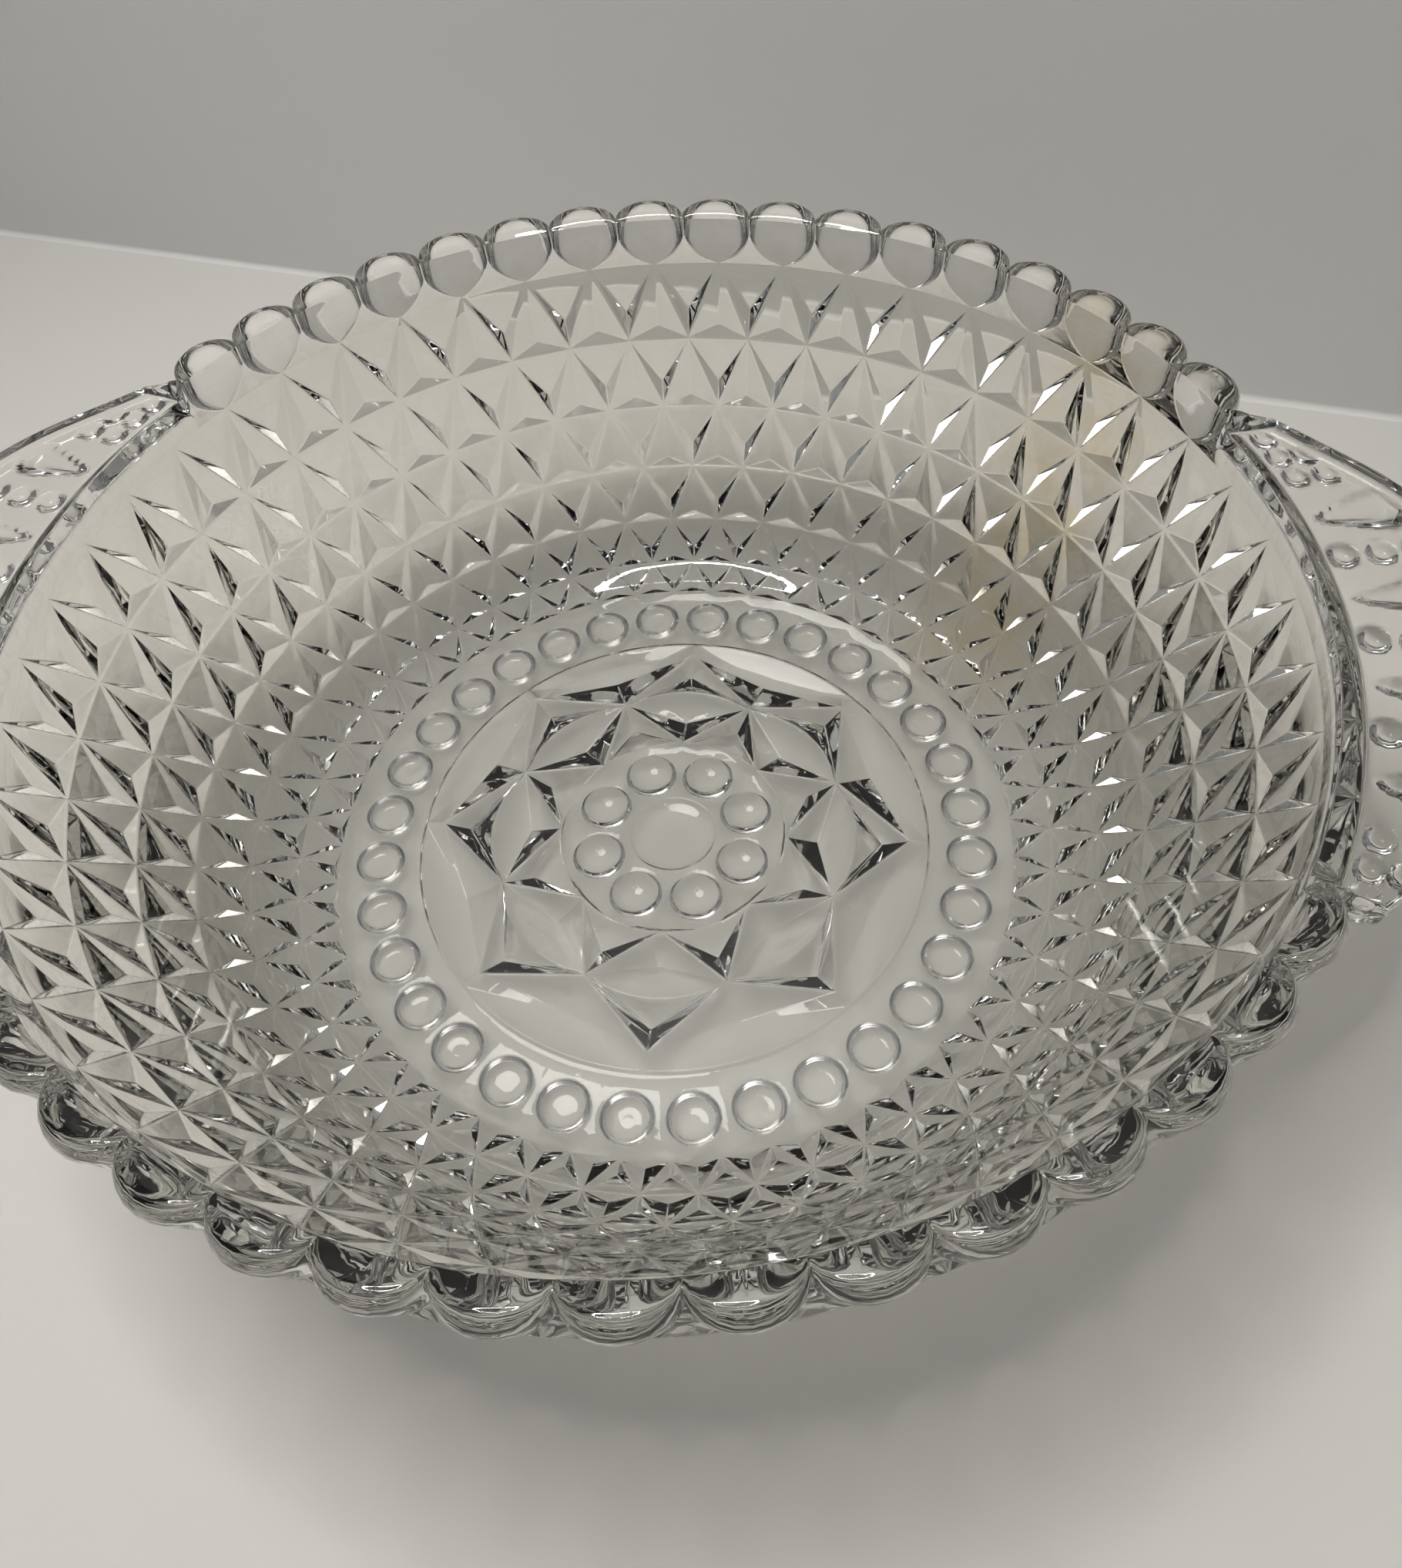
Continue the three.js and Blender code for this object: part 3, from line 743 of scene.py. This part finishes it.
def scallop_row(height, half_width):
    base = cusp_radius(height)
    bulge = SCALLOP_BULGE * ((height - BAND_HEIGHT) / (CROWN_START - BAND_HEIGHT)) ** BULGE_RISE
    row = [(base, -s) for s in steps(1, half_width, 4)[:-1]]
    for j in range(COLUMNS + 1):
        across = -math.cos(math.pi * j / COLUMNS)
        row.append((base + bulge * pillow(across), across * half_width))
    row += [(base, s) for s in steps(half_width, 1, 4)[1:]]
    return [at(radius, s * PITCH / 2, height) for radius, s in row]


scallop = Skin("rim_scallop")
scallop.grid(scallop_rows())
crown_columns = []
for j in range(COLUMNS + 1):
    across = -math.cos(math.pi * j / COLUMNS)
    outer_radius = CUSP_RADIUS + SCALLOP_BULGE * pillow(across)
    section = [(outer_radius, CROWN_START)] + crown_section(outer_radius, across) + LIP_SECTION
    crown_columns.append([at(r, across * PITCH / 2, z) for r, z in section])
scallop.grid(crown_columns)
handle_pitches = PITCHES // 2 - SCALLOPS_PER_ARC
first_scallop = (handle_pitches + 1) / 2 * PITCH
turn_round(scallop, SCALLOPS_PER_ARC, PITCH, first_scallop)
turn_round(scallop, SCALLOPS_PER_ARC, PITCH, first_scallop + math.pi)

# %% [markdown]
# ## The handles
# A handle is a flat tab a little below the rim's cusps. Its top is plain and its underside carries
# the mould's ornament: petals that widen outwards, rows of beads between them, and a cluster of
# beads where the tab runs out against the scallops. The ornament is a depth below the underside, so
# one sweep of sections can carry it.

# %% Handle outline and relief
HANDLE_HALF = handle_pitches * PITCH / 2
HANDLE_COLUMNS = 24
TIP_CENTRE, TIP_RADIUS, TIP_TANGENT = 80.0, 50.0, 48.4 * DEGREE
HANDLE_TOP, HANDLE_UNDERSIDE = 72.8, 67.4
ORNAMENT_STEP = 9.2 * DEGREE
BEAD_ROW_RADII, ROW_BEAD_SIZE = (109.6, 115.5, 121.3), 2.2
CLUSTER = ((24.0, 109.5), (21.6, 109.4), (21.2, 113.5), (18.9, 109.7), (18.5, 114.6))
CLUSTER_BEAD_SIZE = 2.0
BEAD_HEIGHT_SHARE = 0.68
PETAL_HEIGHT, PETAL_WIDTH = 1.4, 5.0
PETAL_ROOT, PETAL_END, PETAL_EDGE = 107.6, 127.0, 1.8
PETAL_SHOULDER = 0.72  # how far along a petal its end begins to round
DIRT_LINE = 1.1  # dirt gathers just outside a shape, whose own edge is at 1


def handle_reach(angle):
    shoulder = (TIP_CENTRE + TIP_RADIUS * math.cos(TIP_TANGENT), TIP_RADIUS * math.sin(TIP_TANGENT))
    if abs(angle) < math.atan2(shoulder[1], shoulder[0]):
        across = TIP_CENTRE * math.sin(angle)
        return TIP_CENTRE * math.cos(angle) + math.sqrt(TIP_RADIUS ** 2 - across ** 2)
    distance = shoulder[0] * math.cos(TIP_TANGENT) + shoulder[1] * math.sin(TIP_TANGENT)
    return distance / math.cos(abs(angle) - TIP_TANGENT)


def ornament_beads():
    """The beads on half a handle, each as its radius, its angle and its size."""
    rows = [(radius, k * ORNAMENT_STEP, ROW_BEAD_SIZE) for k in (0, 1) for radius in BEAD_ROW_RADII]
    return rows + [(radius, degrees * DEGREE, CLUSTER_BEAD_SIZE) for degrees, radius in CLUSTER]


ORNAMENT_BEADS = ornament_beads()


def relief(radius, angle):
    """How far the ornament stands below the underside, and how close the point is to its edge."""
    height, edge_near = 0.0, 0.0
    for bead_radius, bead_angle, size in ORNAMENT_BEADS:
        x, y, _ = at(radius, abs(angle) - bead_angle, 0)
        away = math.hypot(x - bead_radius, y) / size
        if away < 1:
            height = max(height, BEAD_HEIGHT_SHARE * size * math.sqrt(1 - away ** 2))
        edge_near = max(edge_near, 1 - abs(away - DIRT_LINE) / 0.4)
    petal_angle = (math.floor(angle / ORNAMENT_STEP) + 0.5) * ORNAMENT_STEP
    if abs(petal_angle) < 2 * ORNAMENT_STEP:
        end = min(PETAL_END, handle_reach(petal_angle) - PETAL_EDGE)
        along = (radius - PETAL_ROOT) / (end - PETAL_ROOT)
        if 0 < along < 1:
            rounding = max(0.0, (along - PETAL_SHOULDER) / (1 - PETAL_SHOULDER))
            half_width = PETAL_WIDTH * along ** 0.8 * math.sqrt(1 - rounding ** 2)
            across = abs(radius * math.sin(angle - petal_angle)) / max(half_width, 0.05)
            if across < 1:
                rise = smooth(along / 0.2)
                height = max(height, PETAL_HEIGHT * math.sqrt(1 - across ** 2) * rise)
            edge_near = max(edge_near, 0.8 * (1 - abs(across - DIRT_LINE) / 0.3))
    return height, max(0.0, edge_near)


print("ornament beads on half a handle", len(ORNAMENT_BEADS))

# %% [markdown]
# ## The handle's skin
# Each section of a handle runs from the band up the wall, round the root, along the underside and
# round the edge to the top. Close to the scallops the section shrinks to the cusp's, so that the
# skin closes against them. The ends of the neighbouring patches have other counts of points, and a
# stitch joins them.

# %% Handle sections
END = {"low": 106.3, "start": 106.0, "root": 105.6, "last": 105.5, "reach": CUSP_RADIUS + 0.4}
TAB = {"low": 106.55, "start": 106.65, "root": 107.2}
LOW_HEIGHT, START_HEIGHT = 65.0, 66.2
EDGE_ROUNDING, TOP_EDGE_SHARE = 1.5, 0.7
FADE = 1.25 * DEGREE
RUN_OUT = 0.8  # over which the relief ends at the tab's edge
UNDERSIDE_ROWS = 38
TAB_LIP = ((72.72, 0.25), (72.4, 0.0), (71.3, 0.0), (LIP_JOIN_HEIGHT, 0.0))


def handle_outer(angle):
    """From the band to the top, with the top's outer radius and how much of a tab this is."""
    keep = smooth((HANDLE_HALF - abs(angle)) / FADE)
    low, start, root = (mix(END[part], TAB[part], keep) for part in ("low", "start", "root"))
    reach = mix(END["reach"], handle_reach(angle), keep)
    last = mix(END["last"], reach - EDGE_ROUNDING, keep)
    top = mix(CUSP_TOP, HANDLE_TOP, keep)
    section = [(low, LOW_HEIGHT, 0.0), (start, START_HEIGHT, 0.0)]
    for t in steps(0, 1, 4)[1:-1]:
        height = mix(START_HEIGHT, HANDLE_UNDERSIDE, 1 - (1 - t) ** 2)
        section.append((mix(start, root, t * t), height, 0.0))
    for share in steps(0, 1, UNDERSIDE_ROWS):
        radius = mix(root, last, share)
        depth, crevice = relief(radius, angle)
        fade = keep * smooth((last - radius) / RUN_OUT + 0.2)
        section.append((radius, HANDLE_UNDERSIDE - depth * fade, crevice * keep))
    for t in steps(0, math.pi / 2, 4)[1:]:
        height = HANDLE_UNDERSIDE + EDGE_ROUNDING * (1 - math.cos(t))
        section.append((last + (reach - last) * math.sin(t), height, 0.0))
    for t in steps(0, math.pi / 2, 4):
        radius = reach - (reach - last) * (1 - math.cos(t)) * TOP_EDGE_SHARE
        section.append((radius, mix(top - EDGE_ROUNDING, top, math.sin(t)), 0.0))
    return section, section[-1][0], keep


def lip_columns(angle, outer_radius, keep):
    """The top of the tab and the rounded edge over which it meets the inside."""
    lip = []
    for (radius, height), (tab_height, bevel) in zip(LIP_SECTION, TAB_LIP):
        tab_radius = inner_lip(min(tab_height, TAB_LIP[1][0])) + bevel
        lip.append((mix(radius, tab_radius, keep), mix(height, tab_height, keep)))
    top_height = mix(CUSP_TOP, HANDLE_TOP, keep)
    top = [(mix(lip[0][0], outer_radius, u), mix(lip[0][1], top_height, min(1, u * 2)))
           for u in steps(1, 0, 5)[:-1]]
    return [at(r, angle, z) for r, z in top + lip]


print("section points", len(handle_outer(0.0)[0]), "reach at the tip", handle_reach(0.0), "mm")

# %% Handle skin
handle = Skin("tab_handle")
cusp_outer = [at(cusp_radius(row[0][2]), 0, row[0][2]) for row in scallop_rows()]
cusp_outer += [at(r, 0, z) for r, z in crown_section(CUSP_RADIUS, 1.0)[:5]]
cusp_lip = [at(r, 0, z) for r, z in crown_section(CUSP_RADIUS, 1.0)[4:] + LIP_SECTION]
outer_columns, inner_columns = [], []
for a in steps(-HANDLE_HALF, HANDLE_HALF, handle_pitches * HANDLE_COLUMNS)[1:-1]:
    section, top_radius, keep = handle_outer(a)
    for radius, height, crevice in section:
        handle.vertex(at(radius, a, height), crevice=crevice)
    outer_columns.append([at(radius, a, height) for radius, height, _ in section])
    inner_columns.append(lip_columns(a, top_radius, keep))
handle.grid(outer_columns)
ends = ((-HANDLE_HALF, 0), (HANDLE_HALF, -1))
for angle, column in ends:
    handle.stitch([turned(p, angle) for p in cusp_outer][1:], outer_columns[column])
cusp_lips = [[turned(p, angle) for p in cusp_lip] for angle, _ in ends]
inner_columns = [cusp_lips[0], *inner_columns, cusp_lips[1]]
handle.grid([column[:-1] for column in inner_columns])
band_row = [at(OUTSIDE["band_radius"], a, BAND_HEIGHT)
            for a in steps(-HANDLE_HALF, HANDLE_HALF, handle_pitches * BAND_STEPS)]
first_row = [turned(cusp_outer[1], -HANDLE_HALF)] + [c[0] for c in outer_columns]
first_row.append(turned(cusp_outer[1], HANDLE_HALF))
handle.stitch(first_row, band_row)
lip_row = [c[-2] for c in inner_columns]
join_row = []
for k in range(handle_pitches):
    middle = -HANDLE_HALF + (k + 0.5) * PITCH
    join_row += [at(inner_lip(LIP_JOIN_HEIGHT), middle + a, LIP_JOIN_HEIGHT)
                 for a in angles[(1 if k else 0):]]
handle.stitch(lip_row, join_row)
turn_round(handle, 2, math.pi)

# %% [markdown]
# ## One skin
# The patches now share their borders, so they can be merged into one closed skin.

# %% Merge the patches
def merged_skin():
    skin = bmesh.new()
    inset = skin.verts.layers.int.new("inset")
    crevice = skin.verts.layers.float.new("crevice")
    facet = skin.faces.layers.int.new("facet")
    for patch in patches:
        made = []
        for v, inset_flag, near in zip(patch.vertices, patch.attributes["inset"].data,
                                       patch.attributes["crevice"].data):
            vertex = skin.verts.new(v.co)
            vertex[inset], vertex[crevice] = inset_flag.value, near.value
            made.append(vertex)
        for polygon, flag in zip(patch.polygons, patch.attributes["facet"].data):
            face = skin.faces.new([made[i] for i in polygon.vertices])
            face[facet] = flag.value
            face.smooth = True
    bmesh.ops.remove_doubles(skin, verts=skin.verts, dist=MERGE_DISTANCE)
    bmesh.ops.recalc_face_normals(skin, faces=skin.faces)
    if skin.calc_volume(signed=True) < 0:
        bmesh.ops.reverse_faces(skin, faces=skin.faces)
    return skin


skin = merged_skin()
open_edges = sum(1 for e in skin.edges if len(e.link_faces) != 2)
print("open or crowded edges", open_edges, "volume ml", round(skin.calc_volume() * 1e6, 1))

# %% [markdown]
# ## Corner shading
# The shading is set corner by corner. On smooth faces it is the average of the faces round a point.
# On a facet it is the facet's own direction, and along its borders it is halfway to the
# neighbour's, so a ridge catches a thin line of light as a pressed edge does. Bevelling every ridge
# with real faces would look much the same and cost many more triangles.

# %% Shade and finish the bowl
def corner_normals(skin):
    inset, facet = skin.verts.layers.int["inset"], skin.faces.layers.int["facet"]
    round_normal, facet_normal = {}, {}
    for vertex in skin.verts:
        total, flat_total = Vector(), Vector()
        for face in vertex.link_faces:
            if face[facet]:
                flat_total += face.normal * face.calc_area()
            else:
                total += face.normal * face.calc_area()
        round_normal[vertex], facet_normal[vertex] = total, flat_total
    normals = []
    for face in skin.faces:
        across = None
        if face[facet]:
            for edge in face.edges:
                if not any(v[inset] for v in edge.verts):
                    others = [f for f in edge.link_faces if f is not face]
                    across = face.normal + others[0].normal if others else face.normal
        for vertex in face.verts:
            if not face[facet]:
                normal = round_normal[vertex]
            elif vertex[inset]:
                normal = facet_normal[vertex]
            else:
                normal = across
            normals.append(normal.normalized() if normal and normal.length > 0 else face.normal)
    return normals


normals = corner_normals(skin)
glass_mesh = bpy.data.meshes.new("pressed_glass_bowl")
skin.to_mesh(glass_mesh)
skin.free()
glass_mesh.normals_split_custom_set([tuple(n) for n in normals])
glass_mesh.materials.append(pressed_glass)
bowl = bpy.data.objects.new("pressed_glass_bowl", glass_mesh)
bpy.context.scene.collection.objects.link(bowl)
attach(bowl, "root")
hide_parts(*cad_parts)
glass_mesh.calc_loop_triangles()
print("triangles", len(glass_mesh.loop_triangles))

# %% [markdown]
# ## The stage
# The bowl stands on a pale painted table with a pale wall close behind it. The wall meets the table
# in a small cove, and its paint is one-sided, so it never hides the bowl from behind. The table lies
# a hair below the beads, because two surfaces in the same plane would shade each other black.

# %% Stage
def stage_mesh(name, points, faces, material):
    mesh = bpy.data.meshes.new(name)
    mesh.from_pydata(points, [], faces)
    mesh.materials.append(material)
    made = bpy.data.objects.new(name, mesh)
    bpy.context.scene.collection.objects.link(made)
    made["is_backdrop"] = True
    return mesh


def paint(name, colour, roughness, one_sided=False):
    finish = Finish(name)
    base = finish.node("BsdfPrincipled", Base_Color=colour, Roughness=roughness,
                       Specular_IOR_Level=0.3)
    if not one_sided:
        return finish.done(base)
    mixed = finish.tree.nodes.new("ShaderNodeMixShader")
    finish.feed(mixed.inputs[0], finish.node("NewGeometry", output=6))
    finish.feed(mixed.inputs[1], base)
    finish.feed(mixed.inputs[2], finish.node("BsdfTransparent"))
    return finish.done(Signal(finish, mixed.outputs[0]))


TABLE_HALF, AIR_GAP = 1800, 0.25
WALL_TURN, WALL_DISTANCE = -10.3 * DEGREE, 172.0
WALL_HALF, WALL_HEIGHT, COVE_RADIUS = 900, 900, 1.5


def table():
    corners = [(-1, -1), (1, -1), (1, 1), (-1, 1)]
    points = [Vector((x * TABLE_HALF, y * TABLE_HALF, -AIR_GAP)) * MM for x, y in corners]
    stage_mesh("table", points, [[0, 1, 2, 3]], paint("table_paint", (0.62, 0.6, 0.575, 1), 0.55))


def backdrop():
    """A wall that curves out of the table, as one strip of faces."""
    cove = [(COVE_RADIUS * (1 - math.sin(t)), COVE_RADIUS * (1 - math.cos(t)))
            for t in steps(0, math.pi / 2, 12)]
    points = [Vector(turned((end, WALL_DISTANCE - in_front, height), WALL_TURN)) * MM
              for in_front, height in cove + [(0, WALL_HEIGHT)] for end in (-WALL_HALF, WALL_HALF)]
    faces = [[2 * i, 2 * i + 1, 2 * i + 3, 2 * i + 2] for i in range(len(cove))]
    wall_paint = paint("wall_paint", (0.7, 0.695, 0.68, 1), 0.7, one_sided=True)
    stage_mesh("wall", points, faces, wall_paint).shade_smooth()


table()
backdrop()
print("table and wall stand", WALL_DISTANCE, "mm apart from the bowl's axis")

# %% [markdown]
# ## Lamps and room
# Glass shows its lamps, so there are few. A soft lamp hangs overhead, a little to the back left, and
# its beam is narrowed so that the light falls off towards the wall. It is hidden from reflections,
# where its disc would look hard. A thin ring lamp gives the reflections instead: the bright ring in
# the bowl's heel and the small rings in the beads and scallops. The room adds a dim even light that
# is a little stronger from above.

# %% Lamps
def area_lamp(name, size, power, place, target, colour):
    lamp = bpy.data.lights.new(name, "AREA")
    lamp.shape, lamp.size, lamp.energy, lamp.color = "DISK", size, power, colour
    lamp_object = bpy.data.objects.new(name, lamp)
    aim = (Vector(target) - Vector(place)).to_track_quat("-Z", "Y").to_matrix().to_4x4()
    lamp_object.matrix_world = Matrix.Translation(place) @ aim
    bpy.context.scene.collection.objects.link(lamp_object)
    return lamp_object


soft_lamp = area_lamp("soft_lamp", 0.3, 0.41, (-0.17, 0.08, 0.68), (0.0, -0.04, 0),
                      (1.0, 0.985, 0.96))
soft_lamp.data.spread = 90 * DEGREE
soft_lamp.visible_glossy = False


def ring_lamp(centre, ring_radius, tube_radius, strength):
    finish = Finish("ring_lamp_light")
    glow = finish.done(finish.node("Emission", Color=(1, 0.98, 0.95, 1), Strength=strength))
    tube, around = 12, 64
    points, faces = [], []
    for i in range(around):
        for j in range(tube):
            a, b = 2 * math.pi * i / around, 2 * math.pi * j / tube
            r = ring_radius + tube_radius * math.cos(b)
            points.append(Vector(at(r, a, tube_radius * math.sin(b))) + Vector(centre))
            faces.append([i * tube + j, (i + 1) % around * tube + j,
                          (i + 1) % around * tube + (j + 1) % tube, i * tube + (j + 1) % tube])
    stage_mesh("ring_lamp", points, faces, glow)


ring_lamp((-0.06, -0.03, 0.62), 0.105, 0.005, 90.0)

# %% Room
ROOM_LIGHT, CEILING_LIGHT, CEILING_FALL = 0.11, 0.25, 3.0
BOUNCES = 18
world = bpy.data.worlds.new("soft_room")
bpy.context.scene.world = world
world.use_nodes = True


def soft_ceiling():
    """A dim room under a ceiling that is brightest overhead."""
    tree = world.node_tree
    direction = tree.nodes.new("ShaderNodeTexCoord").outputs["Generated"]
    parts = tree.nodes.new("ShaderNodeSeparateXYZ")
    tree.links.new(direction, parts.inputs[0])
    overhead = tree.nodes.new("ShaderNodeMath")
    overhead.operation, overhead.use_clamp = "POWER", True
    tree.links.new(parts.outputs["Z"], overhead.inputs[0])
    overhead.inputs[1].default_value = CEILING_FALL
    level = tree.nodes.new("ShaderNodeMath")
    level.operation = "MULTIPLY_ADD"
    tree.links.new(overhead.outputs[0], level.inputs[0])
    level.inputs[1].default_value, level.inputs[2].default_value = CEILING_LIGHT, ROOM_LIGHT
    background = tree.nodes["Background"]
    background.inputs["Color"].default_value = (0.97, 0.98, 1.0, 1)
    tree.links.new(level.outputs[0], background.inputs["Strength"])


soft_ceiling()
bpy.context.scene.view_settings.view_transform = "Standard"
bpy.context.scene.cycles.max_bounces = BOUNCES
bpy.context.scene.cycles.transmission_bounces = BOUNCES
print("lamps and room set, light follows", BOUNCES, "bounces")

# %% [markdown]
# ## The camera
# The camera looks steeply down into the bowl from its front, a little from the right, and is
# slightly rolled, as if held by hand. A bearing, a dip and a roll place it better than three Euler
# angles would, because each can be judged on its own.

# %% Camera
CAMERA_PLACE = Vector((34.1, -133.3, 209.9)) * MM
CAMERA_BEARING = 11.6 * DEGREE
CAMERA_DIP = 54.03 * DEGREE
CAMERA_ROLL = -5.68 * DEGREE
SENSOR_WIDTH, LENS = 36.0, 31.59
camera_data = bpy.data.cameras.new("camera")
camera_data.sensor_fit = "HORIZONTAL"
camera_data.sensor_width, camera_data.lens = SENSOR_WIDTH, LENS
camera = bpy.data.objects.new("camera", camera_data)
bearing = Matrix.Rotation(CAMERA_BEARING, 4, "Z")
dip = Matrix.Rotation(math.pi / 2 - CAMERA_DIP, 4, "X")
roll = Matrix.Rotation(CAMERA_ROLL, 4, "Z")
camera.matrix_world = Matrix.Translation(CAMERA_PLACE) @ bearing @ dip @ roll
bpy.context.scene.collection.objects.link(camera)
bpy.context.scene.camera = camera
print("camera at", [round(c, 3) for c in camera.matrix_world.translation])

# %% Sizes of the finished bowl
bpy.context.view_layer.update()
low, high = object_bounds()
print("bowl mm", [round((h - l) / MM, 2) for l, h in zip(low, high)])
